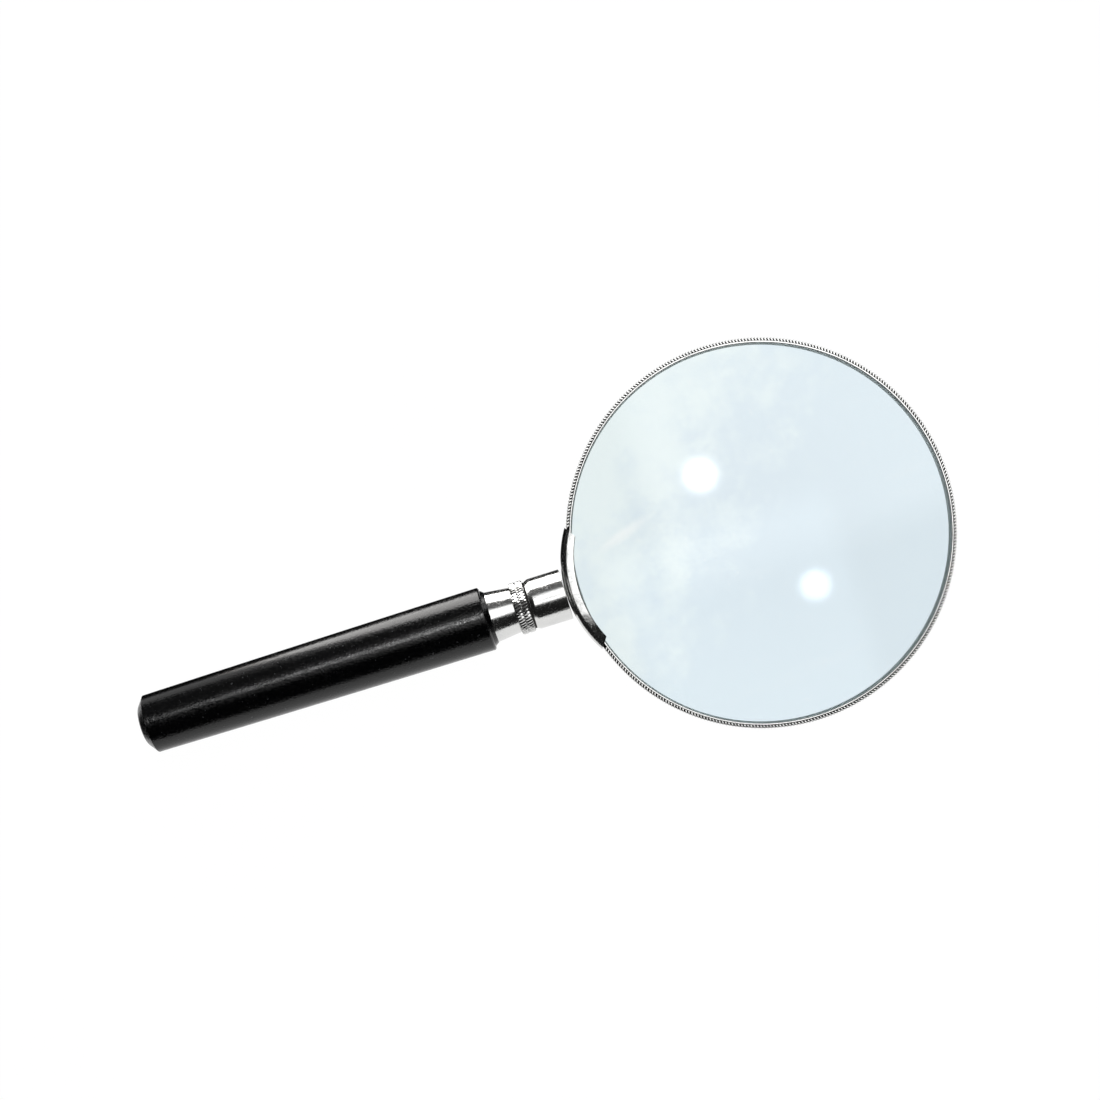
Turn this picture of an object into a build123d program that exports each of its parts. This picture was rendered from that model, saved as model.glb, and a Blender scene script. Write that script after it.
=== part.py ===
from build123d import *
import math
import os

# Hand magnifying glass: a thick biconvex lens in a split, rolled metal rim, on a
# black handle that screws onto a stud. Millimetres. The handle's axis is along X
# with the lens on the +X side, the lens's own axis is along Z, and the object lies
# level on the plane Z = 0. X = 0 is halfway along its whole length.

# Driving dimensions: the whole object
LENGTH = 168.2
HANDLE_R_MAX = 6.48
AXIS_Z = HANDLE_R_MAX

# Lens and rim
RIM_R = 38.9
RIM_HALF_HEIGHT = 2.1
RIM_SHEET = 0.35
RIM_LIP_R = 37.9
RIM_BEAD_R = 0.32
LENS_R = 38.4
LENS_CURVE_R = 260.0
LENS_EDGE_HALF = 1.72
LENS_BEVEL = 0.85
TAB_THICKNESS = 0.8
TAB_HALF_HEIGHT = 1.6
TAB_PAST_PIN = 1.5
TAB_OVERLAP = 0.05
SPLIT_HALF_GAP = 0.1

# Yoke that hugs the rim
YOKE_R = 24.0
YOKE_REACH = 40.8
YOKE_SHEET = 0.42
YOKE_WIDTH = 2.8
YOKE_CUT_APEX = 28.9
YOKE_CUT_ANGLE = 57.3
YOKE_BEND_R = 1.25
TAB_CLEARANCE = 0.1

# Neck, stud and the pieces on it
SOCKET_R = 5.18
SOCKET_BORE_R = 4.45
SOCKET_LENGTH = 7.4
SOCKET_END_WALL = 0.85
SOCKET_CHAMFER_LENGTH = 0.8
SOCKET_CHAMFER_DEPTH = 0.3
PLUG_THICKNESS = 1.2
STUD_HEAD_R = 4.3
STUD_R = 2.5
STUD_RUN = 12.0
STUD_LEAD_IN = 0.5
STUD_CLEARANCE = 0.1
FORK_CLEARANCE = 0.15
FORK_DEPTH = 1.65
FORK_GAP_HALF = 0.95
PIN_R = 0.75
PIN_CLEARANCE = 0.02
PIN_SHORT = 0.25
PIN_SETBACK = 3.4
WASHER_R = 4.75
WASHER_THICKNESS = 0.35
THREAD_CLEARANCE = 0.05
SLIP_CLEARANCE = 0.2

# Handle end of the screw joint
RING_R = 5.3
RING_LENGTH = 2.8
RING_EDGE = 0.25
RING_GROOVE_WIDTH = 0.3
RING_GROOVE_DEPTH = 0.15
FERRULE_R_SMALL = 4.62
FERRULE_R_LARGE = 5.17
FERRULE_SHEET = 0.5
FERRULE_SKIRT = 4.5
INSERT_R = 3.6
INSERT_LENGTH = 14.5
INSERT_NOSE = 2.2
INSERT_FLOOR = 1.0
HANDLE_TOP_X = -12.0
HANDLE_BEVEL_LENGTH = 0.9
HANDLE_BEVEL_R = 5.8
HANDLE_SHOULDER = 0.3
HANDLE_R_BUTT = 5.9
HANDLE_R_MIDDLE = 6.25
BUTT_CHAMFER = 1.9
BUTT_ROUND = 1.4

# Stations along the axis, worked out from the sizes above
BUTT_X = -LENGTH / 2
LENS_X = LENGTH / 2 - RIM_R
YOKE_BACK_X = LENS_X - YOKE_REACH
SOCKET_END_X = YOKE_BACK_X - SOCKET_LENGTH
RING_END_X = SOCKET_END_X - WASHER_THICKNESS
FERRULE_END_X = RING_END_X - RING_LENGTH
BEVEL_TOP_X = HANDLE_TOP_X + HANDLE_BEVEL_LENGTH
INSERT_NOSE_X = FERRULE_END_X + INSERT_NOSE
INSERT_END_X = INSERT_NOSE_X - INSERT_LENGTH
STUD_END_X = SOCKET_END_X - STUD_RUN
SKIRT_END_X = BEVEL_TOP_X - FERRULE_SKIRT
PIN_X = YOKE_BACK_X - PIN_SETBACK

# How far a cutting shape reaches past what it cuts
BEYOND = 1.0


def turned(outline):
    """A solid of revolution about the handle's axis, from (along, radius) points."""
    return revolve(make_face(Polyline(*outline, close=True)), Axis.X)


def tube(x0, x1, outer, inner):
    """A plain turned tube between two stations."""
    return turned([(x0, inner), (x1, inner), (x1, outer), (x0, outer)])


def block(x0, x1, half_y, half_z):
    """A box centred on the handle's axis, between two stations."""
    return Pos((x0 + x1) / 2, 0, 0) * Box(x1 - x0, 2 * half_y, 2 * half_z)


def cross_pin(radius, length):
    """A round bar across the neck, where the tabs are pinned."""
    return Pos(PIN_X, 0, 0) * Rot(90, 0, 0) * Cylinder(radius, length)


def tab_slot(x0, x1):
    """The slot that both tabs pass through, between two stations."""
    half_y = SPLIT_HALF_GAP + TAB_THICKNESS + TAB_CLEARANCE
    return block(x0, x1, half_y, TAB_HALF_HEIGHT + TAB_CLEARANCE)


def lens_sag(radius):
    """How far a lens face falls from its middle to this radius."""
    return LENS_CURVE_R - (LENS_CURVE_R**2 - radius**2) ** 0.5


def make_lens():
    """Biconvex glass with a ground edge and a narrow bevel at each face."""
    face_r = LENS_R - LENS_BEVEL
    edge_top = LENS_EDGE_HALF - LENS_BEVEL
    middle = LENS_EDGE_HALF + lens_sag(face_r)
    half_r = face_r / 2
    half_z = middle - lens_sag(half_r)
    upper = ThreePointArc((0, middle), (half_r, half_z), (face_r, LENS_EDGE_HALF))
    lower = ThreePointArc((face_r, -LENS_EDGE_HALF), (half_r, -half_z), (0, -middle))
    edge = Polyline(
        (face_r, LENS_EDGE_HALF), (LENS_R, edge_top), (LENS_R, -edge_top), (face_r, -LENS_EDGE_HALF)
    )
    profile = make_face(upper + edge + lower + Line((0, -middle), (0, middle)))
    return Pos(LENS_X, 0, 0) * revolve(Plane.XZ * profile, Axis.Z)


def make_rim():
    """Rolled channel, split at the neck, its two ends turned out as flat tabs."""
    half = RIM_HALF_HEIGHT
    inner_r = RIM_R - RIM_SHEET
    inside = half - RIM_SHEET
    channel = Polyline(
        (RIM_R, -half), (RIM_R, half), (RIM_LIP_R, half), (RIM_LIP_R, inside),
        (inner_r, inside), (inner_r, -inside), (RIM_LIP_R, -inside), (RIM_LIP_R, -half),
        close=True,
    )
    ring = revolve(Plane.XZ * make_face(channel), Axis.Z)
    corners = ring.edges().filter_by(GeomType.CIRCLE).filter_by(lambda e: e.radius > inner_r)
    ring = Pos(LENS_X, 0, 0) * fillet(corners, RIM_BEAD_R)
    gap = block(LENS_X - RIM_R - BEYOND, LENS_X - RIM_LIP_R + BEYOND, SPLIT_HALF_GAP, half + BEYOND)
    ring -= gap
    tab_end = PIN_X - TAB_PAST_PIN
    tab_root = LENS_X - inner_r + TAB_OVERLAP
    tab = Box(tab_root - tab_end, TAB_THICKNESS, 2 * TAB_HALF_HEIGHT)
    tab_y = SPLIT_HALF_GAP + TAB_THICKNESS / 2
    hole = cross_pin(PIN_R + PIN_CLEARANCE, STUD_HEAD_R)
    for side in (-1, 1):
        ring += Pos((tab_root + tab_end) / 2, side * tab_y, 0) * tab
    return ring - hole


def rounded_disc(radius, half_height, edge):
    """A disc about the upright axis with both its edges rounded."""
    disc = Cylinder(radius, 2 * half_height)
    return fillet(disc.edges().filter_by(GeomType.CIRCLE), edge)


def make_yoke():
    """Pressed crescent cap: an outer wall with a lip folded over each face of the rim."""
    centre_x = YOKE_BACK_X + YOKE_R
    half = RIM_HALF_HEIGHT + YOKE_SHEET
    body = rounded_disc(YOKE_R, half, YOKE_BEND_R)
    body -= rounded_disc(YOKE_R - YOKE_SHEET, RIM_HALF_HEIGHT, YOKE_BEND_R - YOKE_SHEET)
    body -= Pos(YOKE_WIDTH, 0, 0) * Cylinder(YOKE_R, 2 * (half + BEYOND))
    body = Pos(centre_x, 0, 0) * body
    body -= Pos(LENS_X, 0, 0) * Cylinder(RIM_R, 2 * RIM_HALF_HEIGHT)
    apex_x = LENS_X - YOKE_CUT_APEX
    spread = 2 * YOKE_R
    rise = spread * math.tan(math.radians(YOKE_CUT_ANGLE))
    wedge = make_face(
        Polyline((apex_x, 0), (apex_x - spread, rise), (apex_x - spread, -rise), close=True)
    )
    body = body & extrude(wedge, half + BEYOND, both=True)
    return body - tab_slot(YOKE_BACK_X - BEYOND, YOKE_BACK_X + BEYOND)


def make_neck_socket():
    """Drawn tube with a closed end, brazed to the yoke, slotted for the tabs."""
    wall_x = YOKE_BACK_X - SOCKET_END_WALL
    cup = turned([
        (SOCKET_END_X, SOCKET_BORE_R),
        (SOCKET_END_X, SOCKET_R - SOCKET_CHAMFER_DEPTH),
        (SOCKET_END_X + SOCKET_CHAMFER_LENGTH, SOCKET_R),
        (YOKE_BACK_X, SOCKET_R),
        (YOKE_BACK_X, 0),
        (wall_x, 0),
        (wall_x, SOCKET_BORE_R),
    ])
    return cup - tab_slot(wall_x - BEYOND, YOKE_BACK_X + BEYOND)


def make_stud():
    """Steel stud: a forked head that straddles the tabs, then a long threaded shank."""
    head_x = SOCKET_END_X + PLUG_THICKNESS + STUD_CLEARANCE
    fork_x = YOKE_BACK_X - SOCKET_END_WALL - FORK_CLEARANCE
    stud = turned([
        (STUD_END_X, 0),
        (STUD_END_X, STUD_R - STUD_LEAD_IN),
        (STUD_END_X + STUD_LEAD_IN, STUD_R),
        (head_x, STUD_R),
        (head_x, STUD_HEAD_R),
        (fork_x, STUD_HEAD_R),
        (fork_x, 0),
    ])
    stud -= block(PIN_X - FORK_DEPTH, fork_x + BEYOND, FORK_GAP_HALF, STUD_HEAD_R + BEYOND)
    return stud - cross_pin(PIN_R + PIN_CLEARANCE, 2 * STUD_HEAD_R + BEYOND)


def make_tab_pin():
    """Pin that holds both rim tabs in the stud's fork."""
    return cross_pin(PIN_R, 2 * (STUD_HEAD_R - PIN_SHORT))


def make_neck_plug():
    """Brass disc pressed into the socket's mouth, which centres the stud."""
    return tube(SOCKET_END_X, SOCKET_END_X + PLUG_THICKNESS, SOCKET_BORE_R, STUD_R + THREAD_CLEARANCE)


def make_thrust_washer():
    """Black fibre washer between the knurled ring and the neck."""
    return tube(RING_END_X, SOCKET_END_X, WASHER_R, STUD_R + SLIP_CLEARANCE)


def make_knurled_ring():
    """Turned ring pressed on the insert's nose, with a groove round its middle."""
    middle = (FERRULE_END_X + RING_END_X) / 2
    half_groove = RING_GROOVE_WIDTH / 2
    return turned([
        (FERRULE_END_X, INSERT_R),
        (FERRULE_END_X, RING_R - RING_EDGE),
        (FERRULE_END_X + RING_EDGE, RING_R),
        (middle - half_groove, RING_R),
        (middle, RING_R - RING_GROOVE_DEPTH),
        (middle + half_groove, RING_R),
        (RING_END_X - RING_EDGE, RING_R),
        (RING_END_X, RING_R - RING_EDGE),
        (RING_END_X, STUD_R + SLIP_CLEARANCE),
        (INSERT_NOSE_X, STUD_R + SLIP_CLEARANCE),
        (INSERT_NOSE_X, INSERT_R),
    ])


def make_ferrule():
    """Drawn tapered ferrule, its skirt sunk in the handle and its end turned in."""
    inner_small = FERRULE_R_SMALL - FERRULE_SHEET
    inner_large = FERRULE_R_LARGE - FERRULE_SHEET
    return turned([
        (FERRULE_END_X, INSERT_R),
        (FERRULE_END_X, FERRULE_R_SMALL),
        (BEVEL_TOP_X, FERRULE_R_LARGE),
        (SKIRT_END_X, FERRULE_R_LARGE),
        (SKIRT_END_X, inner_large),
        (BEVEL_TOP_X, inner_large),
        (FERRULE_END_X - FERRULE_SHEET, inner_small),
        (FERRULE_END_X - FERRULE_SHEET, INSERT_R),
    ])


def make_threaded_insert():
    """Brass bush with the thread that the stud screws into."""
    return turned([
        (INSERT_END_X, 0),
        (INSERT_END_X, INSERT_R),
        (INSERT_NOSE_X, INSERT_R),
        (INSERT_NOSE_X, STUD_R + THREAD_CLEARANCE),
        (INSERT_END_X + INSERT_FLOOR, STUD_R + THREAD_CLEARANCE),
        (INSERT_END_X + INSERT_FLOOR, 0),
    ])


def make_handle():
    """Moulded black grip, slightly crowned and tapered, formed round ferrule and insert."""
    chamfer_x = BUTT_X + BUTT_CHAMFER
    grip = ThreePointArc(
        (chamfer_x, HANDLE_R_BUTT),
        ((chamfer_x + HANDLE_TOP_X) / 2, HANDLE_R_MIDDLE),
        (HANDLE_TOP_X - HANDLE_SHOULDER, HANDLE_R_MAX),
    )
    nose = Polyline(
        (HANDLE_TOP_X - HANDLE_SHOULDER, HANDLE_R_MAX),
        (HANDLE_TOP_X, HANDLE_R_MAX - HANDLE_SHOULDER),
        (HANDLE_TOP_X, HANDLE_BEVEL_R),
        (BEVEL_TOP_X, FERRULE_R_LARGE),
        (BEVEL_TOP_X, 0),
        (BUTT_X, 0),
        (BUTT_X, HANDLE_R_BUTT - BUTT_CHAMFER),
        (chamfer_x, HANDLE_R_BUTT),
    )
    body = revolve(make_face(grip + nose), Axis.X)
    butt_edges = body.edges().filter_by(GeomType.CIRCLE).sort_by(Axis.X)
    body = fillet(butt_edges[0], BUTT_ROUND)
    body -= tube(SKIRT_END_X, BEVEL_TOP_X, FERRULE_R_LARGE, FERRULE_R_LARGE - FERRULE_SHEET)
    inner_small = FERRULE_R_SMALL - FERRULE_SHEET
    tenon_x = FERRULE_END_X - FERRULE_SHEET
    body += turned([
        (BEVEL_TOP_X, 0),
        (BEVEL_TOP_X, FERRULE_R_LARGE - FERRULE_SHEET),
        (tenon_x, inner_small),
        (tenon_x, 0),
    ])
    return body - turned([(INSERT_END_X, 0), (INSERT_END_X, INSERT_R), (0, INSERT_R), (0, 0)])


PIECES = {
    "lens": make_lens,
    "rim": make_rim,
    "yoke": make_yoke,
    "neck_socket": make_neck_socket,
    "neck_plug": make_neck_plug,
    "stud": make_stud,
    "tab_pin": make_tab_pin,
    "thrust_washer": make_thrust_washer,
    "knurled_ring": make_knurled_ring,
    "ferrule": make_ferrule,
    "threaded_insert": make_threaded_insert,
    "handle": make_handle,
}

os.makedirs("parts", exist_ok=True)
for name, make in PIECES.items():
    export_step(Pos(0, 0, AXIS_Z) * make(), "parts/" + name + ".step")
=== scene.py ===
import math

import bmesh
import bpy
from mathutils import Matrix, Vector


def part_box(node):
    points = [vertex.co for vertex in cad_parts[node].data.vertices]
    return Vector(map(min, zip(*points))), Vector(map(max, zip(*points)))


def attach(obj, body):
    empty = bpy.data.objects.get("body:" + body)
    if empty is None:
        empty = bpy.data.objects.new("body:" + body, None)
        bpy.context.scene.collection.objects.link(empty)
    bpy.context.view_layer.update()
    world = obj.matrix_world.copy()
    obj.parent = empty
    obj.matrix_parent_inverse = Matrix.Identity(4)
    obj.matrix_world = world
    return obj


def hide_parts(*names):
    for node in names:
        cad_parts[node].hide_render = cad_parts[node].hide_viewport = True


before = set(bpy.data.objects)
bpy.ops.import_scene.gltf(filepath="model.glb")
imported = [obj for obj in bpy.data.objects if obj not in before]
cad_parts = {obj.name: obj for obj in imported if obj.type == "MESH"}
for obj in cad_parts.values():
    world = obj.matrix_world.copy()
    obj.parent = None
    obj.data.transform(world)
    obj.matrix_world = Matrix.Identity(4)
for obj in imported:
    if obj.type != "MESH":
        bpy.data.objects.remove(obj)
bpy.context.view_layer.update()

# ------------------------------------------------------------------ lens
# The magnifying glass itself: one thick piece of clear crown glass, both faces polished to the
# same curve. Its edge is ground grey, with a narrow bevel at each face, and the rim grips it.
MM = 0.001
SMEAR_AT = (19.4 * MM, 8.0 * MM, 0.0)
SMEAR_SIZE = (8.0 * MM, 1.6 * MM, 100.0 * MM)
SMEAR_TURN = math.radians(18)
# The side of the lens painted lighter and greener as reflected light, and how far and how raggedly
# it reaches:
LIT_SIDE_TOWARDS = (-0.8, 0.6, 0.0)
LIT_SIDE_REACH = (-34.0 * MM, -4.0 * MM)
LIT_SIDE_RAGGED = 110.0 * MM
GLASS_IOR = 1.52
SHARP_ANGLE = math.radians(32)
MERGE_WITHIN = 1e-7


class Value:
    """An output of a node. Sums and products of values add the Math nodes for them."""

    def __init__(self, nodes, socket):
        self.nodes = nodes
        self.socket = socket

    def maths(self, operation, *others):
        sockets = dict(enumerate((self, *others)))
        return self.nodes.node(self.nodes.math_node, {"operation": operation}, sockets)

    def __add__(self, other):
        return self.maths("ADD", other)

    def __sub__(self, other):
        return self.maths("SUBTRACT", other)

    def __mul__(self, other):
        return self.maths("MULTIPLY", other)

    def __truediv__(self, other):
        return self.maths("DIVIDE", other)

    def __pow__(self, other):
        return self.maths("POWER", other)

    def __gt__(self, other):
        return self.maths("GREATER_THAN", other)

    def __neg__(self):
        return self * -1.0

    def __abs__(self):
        return self.maths("ABSOLUTE")

    def __radd__(self, other):
        return self + other

    def __rsub__(self, other):
        return -self + other

    def between(self, low, high):
        """0 below low, 1 above high, and a smooth step between them."""
        settings = {"interpolation_type": "SMOOTHSTEP"}
        sockets = {"Value": self, "From Min": low, "From Max": high}
        return self.nodes.node("ShaderNodeMapRange", settings, sockets)


class Nodes:
    """Adds nodes to a tree: node() takes a type, its settings, then its sockets."""

    math_node = "ShaderNodeMath"

    def __init__(self, tree):
        self.tree = tree
        tree.nodes.clear()

    def node(self, kind, settings=None, sockets=None, output=0):
        made = self.tree.nodes.new(kind)
        for name, value in (settings or {}).items():
            setattr(made, name, value)
        for key, value in (sockets or {}).items():
            if isinstance(value, Value):
                self.tree.links.new(value.socket, made.inputs[key])
            else:
                made.inputs[key].default_value = value
        return Value(self, made.outputs[output]) if len(made.outputs) else None


class Finish(Nodes):
    """A material, with the noises, mixes and bumps that most finishes here need."""

    def __init__(self, name):
        self.material = bpy.data.materials.new(name)
        self.material.use_nodes = True
        super().__init__(self.material.node_tree)
        self.place = self.node("ShaderNodeTexCoord", output="Object")

    def noise(self, per_mm, detail=2.0, stretch=(1.0, 1.0, 1.0), roughness=0.5, shift=0.0):
        """Cloudy noise with this many features to the millimetre, stretched along an axis."""
        scale = [s * per_mm / MM for s in stretch]
        sockets = {"Vector": self.place, "Scale": scale, "Location": (shift, shift, shift)}
        moved = self.node("ShaderNodeMapping", sockets=sockets)
        inputs = {"Vector": moved, "Scale": 1.0, "Detail": detail, "Roughness": roughness}
        return self.node("ShaderNodeTexNoise", sockets=inputs)

    def mix(self, amount, first, second):
        """A colour between two, by an amount from 0 to 1."""
        settings = {"data_type": "RGBA"}
        return self.node("ShaderNodeMix", settings, {0: amount, 6: first, 7: second}, 2)

    def bump(self, height, microns):
        """A normal from a height of 0 to 1 that stands this many thousandths of a mm."""
        sockets = {"Height": height, "Distance": microns * MM * 0.001, "Strength": 1.0}
        return self.node("ShaderNodeBump", sockets=sockets)

    def principled(self, sockets):
        return self.node("ShaderNodeBsdfPrincipled", sockets=sockets)

    def cover(self, shader):
        self.node("ShaderNodeOutputMaterial", sockets={"Surface": shader})
        return self.material


def polished_glass():
    """Clear glass, bluest where it is thickest, with wipe marks, and a painted reflection that
    makes one side lighter and greener.
    """
    glass = Finish("polished_crown_glass")
    cloud = glass.noise(0.11, 5.0, roughness=0.6, shift=0.35)
    wipes = glass.noise(0.12, 5.0, (0.35, 1.6, 1.0), 0.7).between(0.52, 0.8)
    specks = glass.noise(1.1, 0.0, shift=2.0).between(0.79, 0.83)
    across = glass.node("ShaderNodeVectorMath", {"operation": "DOT_PRODUCT"}, {
        0: glass.place, 1: LIT_SIDE_TOWARDS,
    }, "Value")
    # Painted reflection: the tint turns lighter and greener towards the upper left, with a ragged
    # edge.
    lit_side = (across + (cloud - 0.5) * LIT_SIDE_RAGGED).between(*LIT_SIDE_REACH)
    from_middle = glass.node("ShaderNodeMapping", {"vector_type": "TEXTURE"}, {
        "Vector": glass.place, "Location": LENS_CENTRE, "Scale": [LENS_RADIUS] * 3,
    })
    out = glass.node("ShaderNodeVectorMath", {"operation": "LENGTH"}, {0: from_middle}, "Value")
    smear = glass.node("ShaderNodeMapping", {"vector_type": "TEXTURE"}, {
        "Vector": glass.place, "Location": SMEAR_AT, "Rotation": (0, 0, SMEAR_TURN),
        "Scale": SMEAR_SIZE,
    })
    reach = glass.node("ShaderNodeVectorMath", {"operation": "LENGTH"}, {0: smear}, "Value")
    smeared = (1.0 - reach.between(0.1, 1.0)) * (0.4 + wipes)
    tint = glass.mix(out.between(0.0, 1.0), (0.71, 0.815, 0.88, 1), (0.745, 0.855, 0.915, 1))
    tint = glass.mix(lit_side * 0.9, tint, (0.86, 0.955, 0.955, 1))
    tint = glass.mix(smeared * 1.6, tint, (0.925, 0.985, 0.985, 1))
    body = glass.principled({
        "Base Color": tint, "Roughness": 0.0, "IOR": GLASS_IOR, "Transmission Weight": 1.0,
    })
    haze = glass.principled({
        "Base Color": (0.96, 0.98, 0.98, 1), "Roughness": 0.1, "IOR": GLASS_IOR,
        "Transmission Weight": 1.0,
    })
    film = 0.06 + wipes * 0.12 + specks * 0.25 + smeared * 0.3
    shader = glass.node("ShaderNodeMixShader", sockets={0: film, 1: body, 2: haze})
    return glass.cover(shader)


def ground_glass():
    """The lens's edge, left grey and matt by the grinding wheel."""
    ground = Finish("ground_lens_edge")
    grit = ground.noise(9.0, 3.0)
    tone = ground.mix(grit, (0.34, 0.42, 0.41, 1), (0.5, 0.6, 0.58, 1))
    shader = ground.principled({
        "Base Color": tone, "Roughness": 0.5 + grit * 0.25, "IOR": GLASS_IOR,
        "Transmission Weight": 0.35, "Normal": ground.bump(grit, 9.0),
    })
    return ground.cover(shader)


def eased(outline, radius, closed=True, steps=4):
    """An outline with each corner cut by a small curve, as tools and polishing leave it."""
    points = [Vector(point) for point in outline]
    last = len(points) - 1
    path = []
    for index, corner in enumerate(points):
        if not closed and index in (0, last):
            path.append(corner)
            continue
        before = points[index - 1] - corner
        after = points[(index + 1) % len(points)] - corner
        reach = min(radius, before.length * 0.45, after.length * 0.45)
        start = corner + before.normalized() * reach
        end = corner + after.normalized() * reach
        for step in range(steps + 1):
            t = step / steps
            path.append(start * (1 - t) ** 2 + corner * 2 * t * (1 - t) + end * t * t)
    return [tuple(point) for point in path]


def plain_mesh(name, shape, materials):
    """A finished bmesh as an object, smooth over its curves and sharp at its corners."""
    data = bpy.data.meshes.new(name)
    shape.to_mesh(data)
    shape.free()
    for material in materials:
        data.materials.append(material)
    data.shade_smooth()
    data.set_sharp_from_angle(angle=SHARP_ANGLE)
    piece = bpy.data.objects.new(name, data)
    bpy.context.scene.collection.objects.link(piece)
    return piece


def turned(name, outline, steps, place, materials, closed=True):
    """A piece turned on a lathe: its outline is swept round an axis.

    place(along, radius, angle) gives the point in space.
    """
    shape = bmesh.new()
    rings = []
    for index in range(steps):
        angle = math.tau * index / steps
        rings.append([shape.verts.new(place(along, radius, angle)) for along, radius in outline])
    count = len(outline) if closed else len(outline) - 1
    for index in range(steps):
        ring = rings[index]
        following = rings[(index + 1) % steps]
        for here in range(count):
            there = (here + 1) % len(outline)
            shape.faces.new((ring[here], ring[there], following[there], following[here]))
    bmesh.ops.remove_doubles(shape, verts=shape.verts, dist=MERGE_WITHIN)
    bmesh.ops.recalc_face_normals(shape, faces=shape.faces)
    return plain_mesh(name, shape, materials)


def fit(piece, body, slot, *nodes):
    """The piece moves with a body and stands for its CAD nodes. The slot is not used."""
    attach(piece, body)
    if nodes:
        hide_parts(*nodes)


lens_low, lens_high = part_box("lens")
LENS_CENTRE = (lens_low + lens_high) / 2
LENS_RADIUS = (lens_high.x - lens_low.x) / 2
LENS_HALF = (lens_high.z - lens_low.z) / 2
LENS_TOP_BEVEL = 0.55 * MM
LENS_LOW_BEVEL = 0.85 * MM
LENS_CURVE = 260.0 * MM
LENS_FACE_RINGS = 40
LENS_STEPS = 240


def lens_face_height(radius):
    """Height of the polished face above the lens's middle plane."""
    return LENS_HALF - LENS_CURVE + math.sqrt(LENS_CURVE**2 - radius**2)


def about_lens(along, radius, angle):
    """A point at a height and a radius from the lens's own upright axis."""
    flat = Vector((math.cos(angle), math.sin(angle), 0)) * radius
    return LENS_CENTRE + flat + Vector((0, 0, along))


def lens_half(bevel):
    """One polished face from its middle out, then its bevel: (height, radius) points."""
    face_radius = LENS_RADIUS - bevel
    half = []
    for ring in range(LENS_FACE_RINGS + 1):
        radius = face_radius * ring / LENS_FACE_RINGS
        half.append((lens_face_height(radius), radius))
    return half + [(half[-1][0] - bevel, LENS_RADIUS)]


lens_top = lens_half(LENS_TOP_BEVEL)
lens_under = [(-height, radius) for height, radius in reversed(lens_half(LENS_LOW_BEVEL))]
lens = turned(
    "lens_glass", lens_top + lens_under, LENS_STEPS, about_lens,
    [polished_glass(), ground_glass()], closed=False,
)
for polygon in lens.data.polygons:
    off_axis = polygon.center - LENS_CENTRE
    bevel = LENS_TOP_BEVEL if off_axis.z > 0 else LENS_LOW_BEVEL
    if off_axis.xy.length > LENS_RADIUS - bevel:
        polygon.material_index = 1
fit(lens, "head", "lens_glass", "lens")

# ------------------------------------------------------------------ rim
# A strip rolled into a channel and bent round the lens, split at the neck, where its ends turn
# out as two flat tabs. Both sloping outer corners are milled with slanting teeth, then chromed.
RIM_TEETH = 380
RIM_TOOTH_LENGTH = 0.88 * MM
RIM_TOOTH_WIDTH = 0.28 * MM
RIM_TOOTH_HEIGHT = 0.36 * MM
RIM_TOOTH_DROP = 0.2 * MM
RIM_TOOTH_ROOF = 0.12
RIM_SLANT = math.radians(35)
RIM_PROUD = 0.05 * MM
RIM_SLOPE = (0.62 * MM, 0.38 * MM)
RIM_FLAT = 0.92 * MM
RIM_WALL = 0.35 * MM
RIM_LIP = 1.0 * MM
RIM_TAB_THICKNESS = 0.8 * MM
RIM_TAB_HALF = 1.6 * MM
RIM_TAB_GAP = 0.1 * MM
RIM_EASE = 0.1 * MM
RIM_STEPS = 360
UNDER_YOKE = math.radians(18.9)


def chrome_plate(name, waves):
    """Bright chrome over brass: a fine orange peel, hairline scratches and dull finger marks.

    waves is how far the metal under it is out of true, in units of the peel's depth.
    """
    chrome = Finish(name)
    peel = chrome.noise(4.0, 2.0, roughness=0.6)
    pits = chrome.noise(4.5, 1.0, shift=0.4).between(0.48, 0.68)
    hairs = chrome.noise(2.5, 3.0, (0.25, 3.0, 3.0), shift=0.7).between(0.6, 0.66)
    smears = chrome.noise(0.22, 3.0, shift=1.9).between(0.42, 0.75)
    dents = chrome.noise(0.45, 2.0, shift=2.6)
    tone = chrome.mix(smears, (0.70, 0.70, 0.69, 1), (0.64, 0.645, 0.64, 1))
    shader = chrome.principled({
        "Base Color": tone, "Metallic": 1.0,
        "Roughness": 0.12 + smears * 0.05 + hairs * 0.08 + pits * 0.13,
        "Normal": chrome.bump(peel + hairs * 0.2 + dents * waves, 7.5),
    })
    return chrome.cover(shader)


def rebuilt(name, tree, values, material):
    """The plain mesh that a Geometry Nodes tree makes, with its named inputs set."""
    piece = bpy.data.objects.new(name, bpy.data.meshes.new(name))
    bpy.context.scene.collection.objects.link(piece)
    modifier = piece.modifiers.new(name, "NODES")
    modifier.node_group = tree
    sockets = {item.name: item.identifier for item in tree.interface.items_tree}
    for key, value in values.items():
        modifier[sockets[key]] = value
    modifier[sockets["Material"]] = material
    evaluated = piece.evaluated_get(bpy.context.evaluated_depsgraph_get())
    mesh = bpy.data.meshes.new_from_object(evaluated)
    piece.modifiers.remove(modifier)
    mesh.set_sharp_from_angle(angle=SHARP_ANGLE)
    piece.data = mesh
    return piece


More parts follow.
